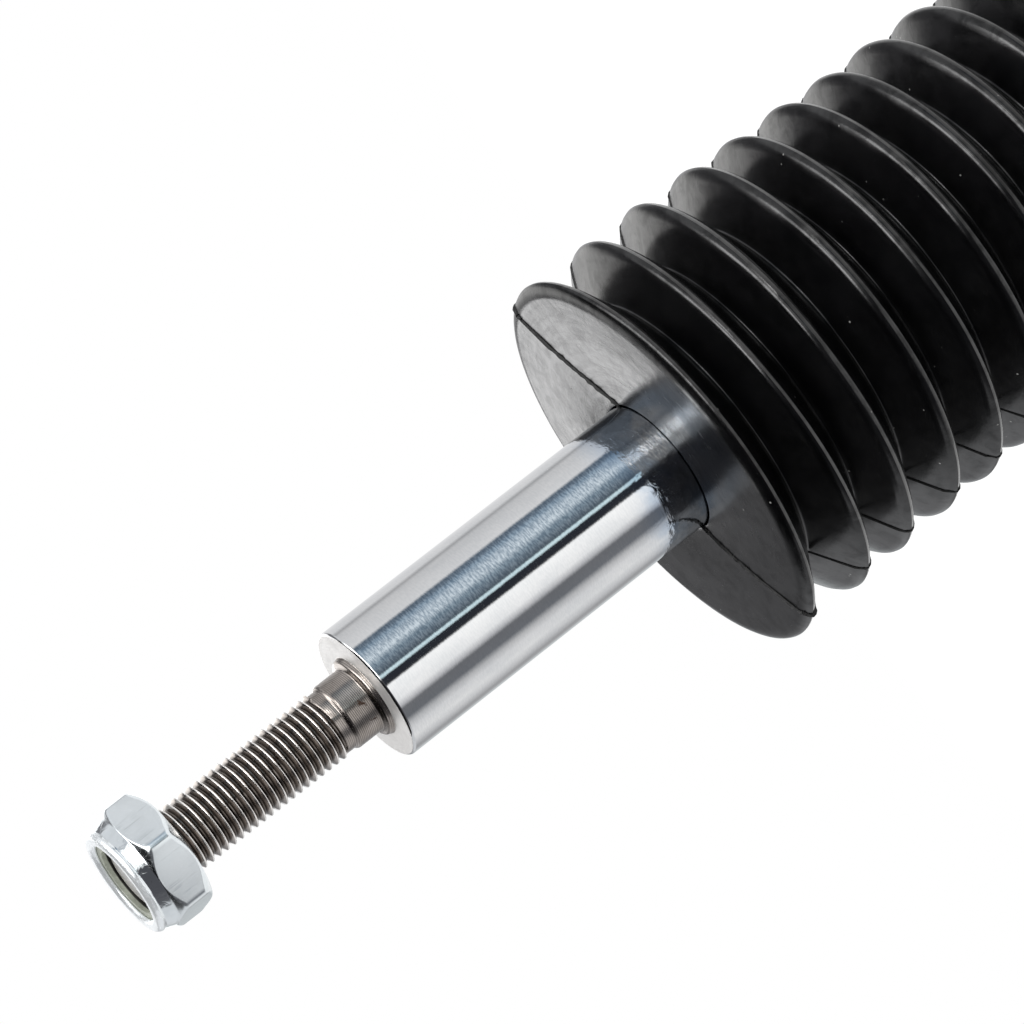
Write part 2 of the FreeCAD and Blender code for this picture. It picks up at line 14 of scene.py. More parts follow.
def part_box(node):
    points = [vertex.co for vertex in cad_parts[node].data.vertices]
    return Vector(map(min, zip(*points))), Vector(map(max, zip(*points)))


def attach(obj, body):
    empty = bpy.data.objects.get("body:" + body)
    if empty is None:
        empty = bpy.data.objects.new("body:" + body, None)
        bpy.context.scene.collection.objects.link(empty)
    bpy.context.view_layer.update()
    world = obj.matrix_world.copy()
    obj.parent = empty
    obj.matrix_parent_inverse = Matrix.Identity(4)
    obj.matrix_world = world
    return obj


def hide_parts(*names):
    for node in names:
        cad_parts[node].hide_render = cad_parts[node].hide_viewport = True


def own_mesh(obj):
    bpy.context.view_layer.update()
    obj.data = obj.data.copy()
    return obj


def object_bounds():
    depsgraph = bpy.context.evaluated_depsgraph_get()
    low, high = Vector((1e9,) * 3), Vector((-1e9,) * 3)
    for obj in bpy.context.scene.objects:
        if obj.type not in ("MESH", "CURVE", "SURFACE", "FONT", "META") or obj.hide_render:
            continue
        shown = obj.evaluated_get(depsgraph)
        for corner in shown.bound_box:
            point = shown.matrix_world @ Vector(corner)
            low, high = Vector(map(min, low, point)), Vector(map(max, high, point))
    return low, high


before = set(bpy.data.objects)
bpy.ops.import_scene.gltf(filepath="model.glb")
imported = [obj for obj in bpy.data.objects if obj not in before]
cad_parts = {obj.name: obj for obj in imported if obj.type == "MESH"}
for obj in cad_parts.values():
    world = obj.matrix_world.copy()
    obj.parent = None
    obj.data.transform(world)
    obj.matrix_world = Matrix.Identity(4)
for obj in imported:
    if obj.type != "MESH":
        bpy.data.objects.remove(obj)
cad_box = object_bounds()
scene = bpy.context.scene

# Metres in a millimetre, degrees that make an edge sharp, mesh cleaning distances in metres, least divisor
MM = 0.001
SMOOTH_LIMIT = 35.0
WELD_DISTANCE = 1e-7
THIN_EDGE = 1e-8
TINY = 1e-9


def reach(node):
    """Largest radius, lowest level and highest level of a round CAD node, in millimetres."""
    low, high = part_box(node)
    return max(high.x, high.y) / MM, low.z / MM, high.z / MM


# Sizes that the frame gives
rod_r, rod_bottom, stud_tip = reach("piston_rod")
boot_r, cuff_bottom = reach("dust_boot")[:2]
nut_low, nut_high = reach("lock_nut")[1:]
tube_r = reach("body_tube")[0]

# Rod and stud
rod_columns = 128
rod_edge = 0.27
rod_edge_rounding = 0.12
rod_shoulder = -231.6
spigot_r = 6.0
fillet_ring_r = 5.95
fillet_ring_height = 0.8
shank_r = 5.0
shank_length = 5.0
relief_r = 4.6
relief_length = 1.8
thread_r = 4.95
thread_depth = 0.72
thread_pitch = 1.25
thread_crest = 0.04
thread_edge = 0.05
thread_edge_drop = 0.07
thread_root = 0.07
thread_smooth_limit = 52.0
tip_chamfer = 0.8
tool_pitch = 0.27

# Roundings and small steps of the rod's profile, and margins that tell its faces apart
spigot_rounding = 0.5
shoulder_rounding = 0.2
ring_foot = 0.25
ring_foot_rounding = 0.15
ring_rounding = 0.3
ring_step = 0.25
ring_step_rounding = 0.2
shank_rounding = 0.25
relief_slope = 0.45
relief_rounding = 0.15
end_margin = 0.02
ring_margin = 0.3

# Boot
boot_columns = 216
boot_folds = 16
boot_wall = 1.4
boot_lip_gap = 0.03
boot_lip = -53.5
boot_rim = -53.9
boot_last_valley = -185.0
boot_cuff_r = 24.92
boot_cuff_inner_r = 23.52
boot_first_gap = 1.35
boot_low_crest_r = 28.6
boot_tapered_folds = 8
boot_valley_r = 22.7
boot_bead = 2.9
boot_first_bead = 1.9
boot_crease = 0.8
boot_inner_bead = 1.4
boot_inner_crease = 3.4
boot_steps = 7
boot_inner_steps = 4
boot_inset_at_valley = 0.6
boot_face_reach = 6.0
cuff_rounding = 0.5

# The rubber's unevenness, one value for each of the first folds: level, lean towards +X and -Y, shift to +X
fold_sink = [0.0, 0.0, 0.2, 0.6, 0.1, 0.2, -0.2, -0.2]
fold_lean_x = [0.5, 0.9, 0.45, 0.2, 0.2, 0.15, 0.1, 0.1]
fold_lean_near = [0.5, 2.3, 2.2, 1.2, 0.7, 0.4, 0.3, 0.2]
fold_shift = [0.25, 0.32, 0.48, 0.46, 0.33, 0.3, 0.2, 0.2]
rim_waver = 0.1
rim_waver_turns = (2, 3, 5)
waver_phase_turn = 1.7
waver_phase_fold = 2.3
waver_fade = 12.0
held_at_rod = 0.5

# Front face of the boot: radius and rise above the plane of the first rim
face_points = [(11.4, 1.78), (15.5, 2.05), (20.0, 2.15), (28.3, 1.9)]
face_rounding = (0.6, 2.0, 2.0, 0.6)
face_lip_rise = 1.7
face_edge_lift = 1.1
lip_groove = 0.24
lip_depth = 1.2
lip_rounding = 0.15

# Moulding flash on the boot: angle at the rims, angle where it meets the rod, and half width, for each side
flash_lines = [(13.0, -14.0, 0.4), (-161.0, -183.0, 0.26)]
flash_height = 0.32
flash_fold_share = 0.55
flash_sink = 0.12
flash_seed = 11
flash_first_row = 3
flash_wander = 0.004
flash_width_range = (0.6, 1.25)
flash_height_range = (0.7, 1.3)
flash_front_fold = 0.5
flash_corners = 3

# Lock nut
nut_columns = 240
nut_flat = 8.5
nut_hex_height = 6.0
nut_corner_angle = 40.0
nut_seat_r = 8.25
nut_seat_slope = math.tan(math.radians(42.0))
nut_shoulder_slope = math.tan(math.radians(39.0))
nut_collar_r = 8.15
nut_collar_top_r = 7.85
nut_lip = 1.1
nut_edge_softness = 0.7
nut_edge = 0.55
nut_shoulder_r = 8.45
nut_fillet = 0.6
nut_bore_r = 5.01
nut_mouth_r = 6.01
nut_mouth_roll = 0.4
nut_pocket_r = 6.76
nut_pocket_low = 38.75
nut_pocket_high = 40.85
# Depth under the pocket's top below which the nylon insert is painted dark as shade
insert_shade_depth = 0.65

# Roundings and small steps of the nut's section
nut_sides = 6
nut_side_turn = 2 * math.pi / nut_sides
nut_side_facing = 0.3
nut_shoulder_sink = 0.2
nut_shoulder_margin = 0.04
nut_shoulder_rounding = 0.35
nut_bore_rounding = 0.1
nut_bore_chamfer = 0.7
nut_chamfer_roundings = (0.2, 0.15)
nut_seat_rounding = 0.5
nut_fillet_rise = 0.75
nut_lip_crease = 0.12
nut_lip_out = 0.12
nut_lip_rise = 0.45
nut_lip_rounding = 0.4
nut_lip_in = 0.3
nut_lip_top_rounding = 0.6
nut_mouth_roundings = (0.5, 0.2)
nut_pocket_rounding = 0.05
nut_steps = 6
rounding_share = 0.48
least_rounding = 1e-4

# Weld of the bracket
weld_r = 1.7
weld_from = math.radians(52)
weld_to = math.radians(308)
weld_step = 0.35
weld_sides = 10
weld_ripple = 0.22
weld_ripple_steps = 5
weld_end = 6
weld_end_share = 0.3
weld_overlap = 0.8
weld_smooth_limit = 60.0


def scaled(points):
    """Points in metres, as plain tuples."""
    return [tuple(float(value) * MM for value in point) for point in points]


def new_piece(name, points, faces, material, body, smooth_limit=SMOOTH_LIMIT):
    """Mesh object from points in millimetres, welded, with smooth shading apart from sharp edges."""
    mesh = bpy.data.meshes.new(name)
    mesh.from_pydata(scaled(points), [], faces)
    work = bmesh.new()
    work.from_mesh(mesh)
    bmesh.ops.remove_doubles(work, verts=work.verts, dist=WELD_DISTANCE)
    bmesh.ops.dissolve_degenerate(work, edges=work.edges, dist=THIN_EDGE)
    bmesh.ops.recalc_face_normals(work, faces=work.faces)
    for face in work.faces:
        face.smooth = True
    for edge in work.edges:
        edge.smooth = edge.calc_face_angle(0.0) < math.radians(smooth_limit)
    work.to_mesh(mesh)
    work.free()
    piece = bpy.data.objects.new(name, mesh)
    scene.collection.objects.link(piece)
    mesh.materials.append(material)
    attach(piece, body)
    return piece


def grid_faces(rows, columns, start=0, closed=False):
    """Quads of a grid of points that closes round the axis, and from the last row to the first if asked."""
    faces = []
    for row in range(rows if closed else rows - 1):
        upper = start + row * columns
        lower = start + (row + 1) % rows * columns
        for column in range(columns):
            beside = (column + 1) % columns
            faces.append((upper + column, upper + beside, lower + beside, lower + column))
    return faces


def polar(radius, angle, level):
    """Point at a radius, an angle and a level."""
    return (radius * math.cos(angle), radius * math.sin(angle), level)


def turned(profile, columns):
    """Points of a profile of (radius, height) turned about the axis, row by row."""
    angles = np.linspace(0, 2 * math.pi, columns, endpoint=False)
    return [polar(r, angle, z) for r, z in profile for angle in angles]


def rounded(corners, steps=5):
    """Polyline of (radius, height): each corner (radius, height, reach) is rounded that far each way."""
    points = []
    for index, (r, z, rounding) in enumerate(corners):
        here = np.array((r, z), float)
        if not rounding or index in (0, len(corners) - 1):
            points.append(here)
            continue
        arms = []
        for other in (corners[index - 1], corners[index + 1]):
            arm = np.array(other[:2], float) - here
            arms.append(here + arm / np.linalg.norm(arm) * rounding)
        for t in np.linspace(0, 1, steps):
            points.append((1 - t) ** 2 * arms[0] + 2 * t * (1 - t) * here + t ** 2 * arms[1])
    return [tuple(point) for point in points]


def ease(share):
    """Smooth step from 0 to 1."""
    share = np.clip(share, 0.0, 1.0)
    return share * share * (3 - 2 * share)


class Nodes:
    """Short calls that add shader nodes to a tree and join them."""

    def __init__(self, tree):
        self.tree = tree

    def put(self, socket, value):
        """Join a socket to another one or set its value; colours get an alpha."""
        if isinstance(value, bpy.types.NodeSocket):
            self.tree.links.new(value, socket)
        elif isinstance(value, tuple) and socket.type == "RGBA":
            socket.default_value = value + (1.0,)
        else:
            socket.default_value = value

    def node(self, kind, inputs, **settings):
        """New shader node with its inputs by name or number."""
        made = self.tree.nodes.new("ShaderNode" + kind)
        for key, value in settings.items():
            setattr(made, key, value)
        for key, value in inputs.items():
            self.put(made.inputs[key], value)
        return made

    def math(self, operation, first, second=0.0, third=0.0):
        """One sum on up to three values."""
        made = self.node("Math", {0: first, 1: second, 2: third}, operation=operation)
        return made.outputs[0]

    def times(self, first, second):
        """Product of two values."""
        return self.math("MULTIPLY", first, second)

    def linear(self, value, factor, base):
        """Value times a factor, plus a base."""
        return self.math("MULTIPLY_ADD", value, factor, base)

    def ramp(self, value, start, end, low=0.0, high=1.0):
        """Value mapped from start..end to low..high, smoothly."""
        inputs = {0: value, 1: start, 2: end, 3: low, 4: high}
        return self.node("MapRange", inputs, interpolation_type="SMOOTHSTEP").outputs[0]

    def mix(self, share, first, second):
        """Two colours mixed; 6, 7 and output 2 are the node's colour sockets."""
        made = self.node("Mix", {0: share, 6: first, 7: second}, data_type="RGBA")
        return made.outputs[2]


class Finish(Nodes):
    """A procedural material on the strut's own coordinates."""

    def __init__(self, name, **settings):
        self.material = bpy.data.materials.new(name)
        self.material.use_nodes = True
        super().__init__(self.material.node_tree)
        self.shader = self.tree.nodes["Principled BSDF"]
        self.place = self.tree.nodes.new("ShaderNodeTexCoord").outputs["Object"]
        self.set(**settings)

    def set(self, **settings):
        """Shader inputs by name, with _ for a space."""
        for key, value in settings.items():
            self.put(self.shader.inputs[key.replace("_", " ")], value)

    def rise(self, length, level, fade):
        """0 to 1 while a length passes from level + fade[0] to level + fade[1], in millimetres."""
        return self.ramp(length, (level + fade[0]) * MM, (level + fade[1]) * MM)

    def stretch(self, x, y, z):
        """Coordinates with each axis scaled."""
        made = self.node("Mapping", {"Vector": self.place, "Scale": (x, y, z)})
        return made.outputs["Vector"]

    def noise(self, scale, detail, roughness, place=None, distortion=0.0):
        """Noise by scale per metre, octaves, share of each next one, coordinates and distortion."""
        inputs = {"Vector": place or self.place, "Scale": scale, "Detail": detail,
                  "Roughness": roughness, "Distortion": distortion}
        return self.node("TexNoise", inputs).outputs[0]

    def cylinder(self):
        """Radius and angle about the strut's axis, and height, in metres and radians."""
        parts = self.node("SeparateXYZ", {0: self.place})
        x, y, z = (parts.outputs[index] for index in range(3))
        square = self.math("ADD", self.times(x, x), self.times(y, y))
        return self.math("SQRT", square), self.math("ARCTAN2", y, x), z

    def wound(self, detail, roughness, around, along, outward=0.0, distortion=0.0):
        """Noise on the cylinder, with its frequency round it per radian, along it and outwards per metre."""
        radius, angle, height = self.cylinder()
        inputs = {0: self.times(angle, around), 1: self.times(height, along), 2: self.times(radius, outward)}
        place = self.node("CombineXYZ", inputs).outputs[0]
        return self.noise(1.0, detail, roughness, place, distortion)

    def soft_edges(self, radius):
        """Normal that rounds sharp edges by a radius in millimetres."""
        return self.node("Bevel", {"Radius": radius * MM}).outputs[0]

    def bump(self, height, strength, depth, under=None):
        """Normal of an uneven skin by its strength and depth in millimetres, over another normal if given."""
        inputs = {"Height": height, "Strength": strength, "Distance": depth * MM}
        if under is not None:
            inputs["Normal"] = under
        return self.node("Bump", inputs).outputs["Normal"]


# Side of the rod, a little towards +X from the side facing the camera, where grain and a blue-grey tone are
# painted as the dark reflection band: angles over which it comes and goes
reflection_band_from = (math.radians(-88), math.radians(-80))
reflection_band_to = (math.radians(-52), math.radians(-58))

# Brown stain on the shank: angle and level of its middle, reach, raggedness and where its edge fades
stain_place = (math.radians(-94), 2.4)
stain_reach = 1.1
stain_ragged = 4.0 * stain_reach
stain_fade = (2.35 * stain_reach, 2.15 * stain_reach)

# Where finishes change, in millimetres from the boot's lip, the thread's start, the thread's crest (twice:
# the painted shade in the roots and the painted highlight on the crests), the top of the nut's flats, its
# lip, the boot's rim and the level below which the nylon insert is painted dark as shade
blue_fade = (13.0, 6.5)
thread_fade = (0.0, 0.4)
root_shade_fade = (-0.25, 0.06 - thread_depth)
crest_fade = (-0.1, -0.03)
collar_fade = (-0.4, 0.2)
lip_fade = (0.1, 0.5)
front_fade = (-1.0, 0.8)
shade_level_fade = (0.06, -0.06)


def chrome_finish():
    """Hard chrome: grinding rings; grain and a blue-grey tone painted on one side as a dark reflection band;
    mottle; hairlines; by the boot a smeared film, tinted blue as a painted reflection.
    """
    dull, bright = (0.63, 0.64, 0.65), (0.68, 0.685, 0.69)
    # Dark blue-grey and light grain colours, painted on the side of the reflection band
    reflection_grain_dark, reflection_grain_light = (0.42, 0.46, 0.5), (0.87, 0.87, 0.87)
    # Blue tint by the boot: partly a smeared film, partly a painted reflection of the dark boot
    blue = (0.4, 0.47, 0.56)
    look = Finish("chrome", Metallic=1.0)
    _, angle, height = look.cylinder()
    grain = look.wound(3.0, 0.65, 11.0, 3800.0)
    patches = look.noise(190.0, 3.0, 0.6)
    mottle = look.noise(300.0, 4.0, 0.6, look.stretch(1.0, 1.0, 0.4))
    hairlines = look.ramp(look.wound(2.0, 0.5, 150.0, 60.0), 0.6, 0.72)
    # Painted reflection: on this side of the rod the grain and blue-grey tone stand in for the dark
    # reflection band
    reflection_band = look.times(look.ramp(angle, *reflection_band_from), look.ramp(angle, *reflection_band_to))
    reflection_band = look.linear(reflection_band, 0.9, 0.1)
    tone = look.mix(look.ramp(mottle, 0.35, 0.7), dull, bright)
    speckled = look.mix(look.ramp(grain, 0.36, 0.64), reflection_grain_dark, reflection_grain_light)
    tone = look.mix(reflection_band, tone, speckled)
    # By the boot: patchy blue-grey tint, part smeared film and part painted dark reflection of the boot
    near_boot = look.rise(height, boot_lip, blue_fade)
    film_and_reflection = look.times(near_boot, look.ramp(patches, 0.38, 0.62, 0.25, 1.0))
    tone = look.mix(film_and_reflection, tone, blue)
    hazy = look.times(look.ramp(grain, 0.48, 0.66), look.ramp(patches, 0.3, 0.65, 0.35, 1.0))
    rough = look.linear(hazy, 0.05, look.ramp(mottle, 0.3, 0.75, 0.03, 0.05))
    rough = look.linear(hairlines, 0.05, rough)
    rings = look.wound(3.0, 0.6, 6.0, 2600.0)
    smears = look.times(near_boot, look.noise(420.0, 2.0, 0.5, None, 0.8))
    wavy = look.bump(smears, 0.14, 0.3)
    look.set(Base_Color=tone, Roughness=rough, Normal=look.bump(rings, 0.16, 0.05, wavy))
    return look.material


def stud_finish():
    """Turned steel of the stud: tool rings, painted shade in the thread roots, painted highlight on the
    crests, brown spots.
    """
    dark, light = (0.29, 0.262, 0.24), (0.42, 0.385, 0.36)
    ring_tone = (0.13, 0.112, 0.1)
    painted_shade_tone = (0.05, 0.038, 0.03)
    stain_tone = (0.06, 0.03, 0.018)
    crest_highlight_tone = (0.86, 0.83, 0.8)
    look = Finish("stud_steel", Metallic=1.0)
    radius, _, height = look.cylinder()
    on_thread = look.rise(height, shank_length + relief_length, thread_fade)
    off_thread = look.math("SUBTRACT", 1.0, on_thread)
    waver = look.wound(2.0, 0.5, 2.0, 900.0)
    waver = look.times(waver, 5.0)
    phase = look.linear(height, 2 * math.pi / (tool_pitch * MM), waver)
    rings = look.linear(look.math("SINE", phase), 0.5, 0.5)
    rings = look.times(rings, off_thread)
    cloud = look.noise(300.0, 4.0, 0.6)
    tone = look.mix(look.ramp(cloud, 0.3, 0.75), dark, light)
    tone = look.mix(look.ramp(rings, 0.2, 0.9, 0.0, 0.6), tone, ring_tone)
    # Painted shade: the thread roots are painted dark and patchy
    root = look.rise(radius, thread_r, root_shade_fade)
    painted_shade = look.times(root, look.ramp(cloud, 0.25, 0.6, 0.35, 0.85))
    painted_shade = look.times(painted_shade, on_thread)
    stain = look.ramp(look.noise(430.0, 5.0, 0.7), 0.655, 0.7)
    spot = scaled([polar(shank_r, *stain_place)])[0]
    away = look.node("VectorMath", {0: look.place, 1: spot}, operation="DISTANCE").outputs["Value"]
    ragged = look.linear(look.noise(1500.0, 6.0, 0.75), stain_ragged * MM, away)
    blot = look.rise(ragged, 0.0, stain_fade)
    stain = look.math("MAXIMUM", stain, blot)
    tone = look.mix(painted_shade, tone, painted_shade_tone)
    tone = look.mix(look.times(stain, 0.9), tone, stain_tone)
    # Painted highlight: the thread's crests are painted pale
    crest = look.times(look.rise(radius, thread_r, crest_fade), on_thread)
    tone = look.mix(crest, tone, crest_highlight_tone)
    plain = look.linear(on_thread, -0.12, 0.24)
    plain = look.linear(crest, 0.14, plain)
    rough = look.linear(look.math("MAXIMUM", painted_shade, stain), 0.18, plain)
    look.set(Base_Color=tone, Roughness=rough, Normal=look.bump(rings, 0.12, 0.05))
    return look.material


def end_face_finish():
    """Faced end of the rod: pale, with fine rings about the axis."""
    dull, bright = (0.62, 0.61, 0.6), (0.7, 0.69, 0.68)
    look = Finish("faced_steel", Metallic=0.6)
    rings = look.wound(3.0, 0.6, 1.5, 0.0, 5000.0)
    cloud = look.noise(420.0, 4.0, 0.6)
    look.set(Base_Color=look.mix(look.ramp(cloud, 0.3, 0.7), dull, bright),
             Roughness=look.ramp(rings, 0.3, 0.7, 0.34, 0.48),
             Normal=look.bump(rings, 0.15, 0.05))
    return look.material


def zinc_finish():
    """Bright zinc plate of the tube: cloudy tone and fine scratches across."""
    dull, bright = (0.44, 0.45, 0.46), (0.52, 0.53, 0.54)
    scratch_tone = tuple(0.72 * value for value in dull)
    look = Finish("tube_zinc", Metallic=1.0)
    cloud = look.noise(260.0, 5.0, 0.6)
    scratches = look.wound(2.0, 0.6, 14.0, 7000.0, 2500.0)
    tone = look.mix(look.ramp(cloud, 0.3, 0.7), dull, bright)
    tone = look.mix(look.ramp(scratches, 0.56, 0.7, 0.0, 0.35), tone, scratch_tone)
    rough = look.ramp(cloud, 0.3, 0.7, 0.26, 0.36)
    look.set(Base_Color=tone, Roughness=rough, Normal=look.bump(scratches, 0.05, 0.05))
    return look.material


def nut_finish():
    """Plated nut: dull scratched flats, a bright collar whose forged skin waves a little, and a pale lip."""
    dull, bright = (0.67, 0.71, 0.73), (0.75, 0.79, 0.81)
    scratch_tone = (0.4, 0.44, 0.46)
    lip_tone = (0.8, 0.83, 0.85)
    look = Finish("nut_zinc")
    height = look.cylinder()[2]
    cloud = look.noise(330.0, 5.0, 0.6)
    collar = look.rise(height, nut_low + nut_hex_height, collar_fade)
    lip = look.rise(height, nut_high - nut_lip, lip_fade)
    streaks = look.wound(3.0, 0.6, 42.0, 170.0)
    patches = look.ramp(look.noise(210.0, 2.0, 0.5), 0.45, 0.6)
    deep = look.times(look.ramp(streaks, 0.58, 0.7), patches)
    deep = look.times(deep, look.math("SUBTRACT", 1.0, collar))
    waves = look.times(look.noise(620.0, 3.0, 0.55, None, 0.8), collar)
    tone = look.mix(look.ramp(cloud, 0.3, 0.7), dull, bright)
    tone = look.mix(look.times(deep, 0.5), tone, scratch_tone)
    tone = look.mix(lip, tone, lip_tone)
    rough = look.linear(collar, -0.17, look.ramp(cloud, 0.3, 0.7, 0.2, 0.27))
    rough = look.linear(lip, 0.25, rough)
    metal = look.linear(lip, -0.4, 1.0)
    fine = look.bump(deep, 0.1, 0.03)
    forged = look.bump(waves, 0.45, 0.2, fine)
    look.set(Base_Color=tone, Metallic=metal, Roughness=rough, Normal=forged)
    return look.material


def boot_finish():
    """Moulded rubber: black, half gloss in patches, with swirled scuffs, an uneven skin and a little dust."""
    dark, light = (0.0009, 0.0009, 0.0011), (0.002, 0.002, 0.0023)
    worn_tone = (0.014, 0.0135, 0.013)
    dust_tone = (0.25, 0.25, 0.24)
    look = Finish("boot_rubber")
    cloud = look.noise(95.0, 4.0, 0.6)
    grain = look.noise(3400.0, 2.0, 0.5)
    haze = look.noise(330.0, 5.0, 0.65, None, 0.6)
    swirls = look.wound(3.0, 0.65, 2.5, 250.0, 900.0, 0.5)
    scuff = look.wound(4.0, 0.65, 7.0, 500.0, 1300.0, 0.5)
    front = look.rise(look.cylinder()[2], boot_rim, front_fade)
    swirled = look.linear(front, 0.55, 0.45)
    brushed = look.times(look.ramp(swirls, 0.35, 0.68), swirled)
    scuffed = look.linear(front, 0.35, 0.4)
    worn = look.times(look.ramp(scuff, 0.58, 0.76), scuffed)
    sparse = look.ramp(look.noise(240.0, 2.0, 0.5), 0.6, 0.65)
    specks = look.node("TexVoronoi", {"Vector": look.place, "Scale": 640.0}).outputs["Distance"]
    dust = look.times(look.ramp(specks, 0.12, 0.06), sparse)
    tone = look.mix(look.ramp(cloud, 0.35, 0.7), dark, light)
    tone = look.mix(look.times(worn, 0.5), tone, worn_tone)
    tone = look.mix(dust, tone, dust_tone)
    rough = look.linear(brushed, 0.07, look.ramp(cloud, 0.3, 0.7, 0.17, 0.22))
    rough = look.linear(worn, 0.1, rough)
    gloss = look.ramp(haze, 0.4, 0.66, 0.55, 0.29)
    fine = look.bump(grain, 0.06, 0.05)
    skin = look.bump(look.math("ADD", worn, brushed), 0.03, 0.15, fine)
    uneven = look.bump(haze, 0.07, 0.4, skin)
    look.set(Base_Color=tone, Roughness=rough, Specular_IOR_Level=gloss, Normal=uneven)
    return look.material


def plain_rubber_finish(name, tone, rough):
    """Matt rubber or foam of the moulding flash and the inner soft pieces: speckled tone, pebbled surface."""
    look = Finish(name)
    pebble = look.noise(1500.0, 4.0, 0.6)
    light = tuple(1.9 * value for value in tone)
    look.set(Base_Color=look.mix(look.ramp(pebble, 0.4, 0.75), tone, light),
             Roughness=look.ramp(pebble, 0.3, 0.7, rough, rough + 0.15),
             Normal=look.bump(pebble, 0.25, 0.2))
    return look.material


def turned_metal_finish(name, tone, rough):
    """Machined metal: tool rings round the axis, a cloudy tone and soft edges."""
    dark = tuple(0.78 * value for value in tone)
    ring_tone = tuple(0.6 * value for value in tone)
    look = Finish(name, Metallic=1.0)
    rings = look.wound(3.0, 0.6, 2.0, 2600.0, 2600.0)
    cloud = look.noise(150.0, 4.0, 0.6)
    shade = look.mix(look.ramp(cloud, 0.3, 0.7), dark, tone)
    shade = look.mix(look.ramp(rings, 0.5, 0.75, 0.0, 0.4), shade, ring_tone)
    look.set(Base_Color=shade,
             Roughness=look.ramp(cloud, 0.3, 0.7, rough, rough + 0.1),
             Normal=look.bump(rings, 0.12, 0.06, look.soft_edges(0.2)))
    return look.material


def anodised_finish():
    """Dark anodised aluminium: satin, with tool rings, soft edges and a few paler rubbed marks."""
    dark, light = (0.05, 0.05, 0.054), (0.07, 0.07, 0.075)
    rubbed_tone = (0.2, 0.2, 0.21)
    look = Finish("ring_anodised", Metallic=1.0)
    rings = look.wound(3.0, 0.6, 3.0, 2400.0, 2400.0)
    cloud = look.noise(120.0, 4.0, 0.6)
    marks = look.ramp(look.wound(3.0, 0.6, 5.0, 160.0, 160.0), 0.66, 0.72)
    tone = look.mix(look.ramp(cloud, 0.3, 0.7), dark, light)
    tone = look.mix(look.times(marks, 0.5), tone, rubbed_tone)
    look.set(Base_Color=tone,
             Roughness=look.ramp(rings, 0.3, 0.7, 0.26, 0.38),
             Normal=look.bump(rings, 0.1, 0.06, look.soft_edges(0.5)))
    return look.material


def paint_finish():
    """Black powder coat on the bracket: fine orange peel, dusty patches, faint rub marks and soft edges."""
    dark, light = (0.012, 0.012, 0.013), (0.022, 0.022, 0.023)
    rubbed_tone = (0.05, 0.05, 0.05)
    look = Finish("bracket_paint")
    peel = look.noise(1300.0, 2.0, 0.4)
    cloud = look.noise(70.0, 4.0, 0.6)
    rubbed = look.noise(1.0, 4.0, 0.65, look.stretch(60.0, 60.0, 700.0), 0.4)
    rubbed = look.ramp(rubbed, 0.62, 0.74)
    tone = look.mix(look.ramp(cloud, 0.3, 0.75), dark, light)
    tone = look.mix(look.times(rubbed, 0.5), tone, rubbed_tone)
    look.set(Base_Color=tone,
             Roughness=look.ramp(cloud, 0.3, 0.7, 0.32, 0.44),
             Normal=look.bump(peel, 0.2, 0.2, look.soft_edges(0.6)))
    return look.material


def nylon_finish(name, tone, shaded_below=None):
    """Moulded plastic: slightly uneven tone and a soft grain; below the given level it is painted near-black
    as shade.
    """
    painted_shade_tone = (0.01, 0.009, 0.008)
    dark = tuple(0.7 * value for value in tone)
    look = Finish(name)
    cloud = look.noise(700.0, 4.0, 0.6)
    shade = look.mix(look.ramp(cloud, 0.35, 0.7), dark, tone)
    # Painted shade: below the given level the insert is painted near-black
    if shaded_below is not None:
        painted_shade = look.rise(look.cylinder()[2], shaded_below, shade_level_fade)
        shade = look.mix(painted_shade, shade, painted_shade_tone)
    look.set(Base_Color=shade,
             Roughness=look.ramp(cloud, 0.3, 0.7, 0.35, 0.5),
             Normal=look.bump(cloud, 0.1, 0.1))
    return look.material


def thread_rows():
    """Share of the pitch and radius of each row in one turn of the screw thread: crest, flank, flat root."""
    edge = thread_crest + thread_edge
    edge_r = thread_r - thread_edge_drop
    root = 0.5 - thread_root
    root_r = thread_r - thread_depth
    middle = ((edge + root) / 2, (edge_r + root_r) / 2)
    half = [(thread_crest, thread_r), (edge, edge_r), middle, (root, root_r)]
    return [(0.0, thread_r)] + half + [(1 - share, radius) for share, radius in reversed(half)]


def helix(low, high):
    """Points, rows and rows in a turn of the screw thread; each row climbs one pitch in a turn."""
    turn = thread_rows()
    count = (int((high - low) / thread_pitch) + 2) * len(turn) + 1
    points = []
    for row in range(count):
        share, radius = turn[row % len(turn)]
        for column in range(rod_columns):
            angle = 2 * math.pi * column / rod_columns
            z = low + thread_pitch * (row // len(turn) + share - 1 + column / rod_columns)
            r = radius
            if z <= low:
                z, r = low, relief_r
            if z >= high:
                z, r = high, thread_r
            points.append(polar(r, angle, z))
    return points, count, len(turn)


def helix_faces(count, rows, start):
    """Quads of a screw thread: where a turn closes, each row meets the one that starts a pitch higher."""
    faces = []
    columns = rod_columns
    for row in range(count - 1):
        for column in range(columns):
            beside = column + 1
            shift = 0
            if beside == columns:
                beside = 0
                shift = rows
            if row + 1 + shift >= count:
                continue
            here = start + row * columns
            there = start + (row + shift) * columns
            faces.append((here + column, there + beside, there + columns + beside, here + columns + column))
    return faces


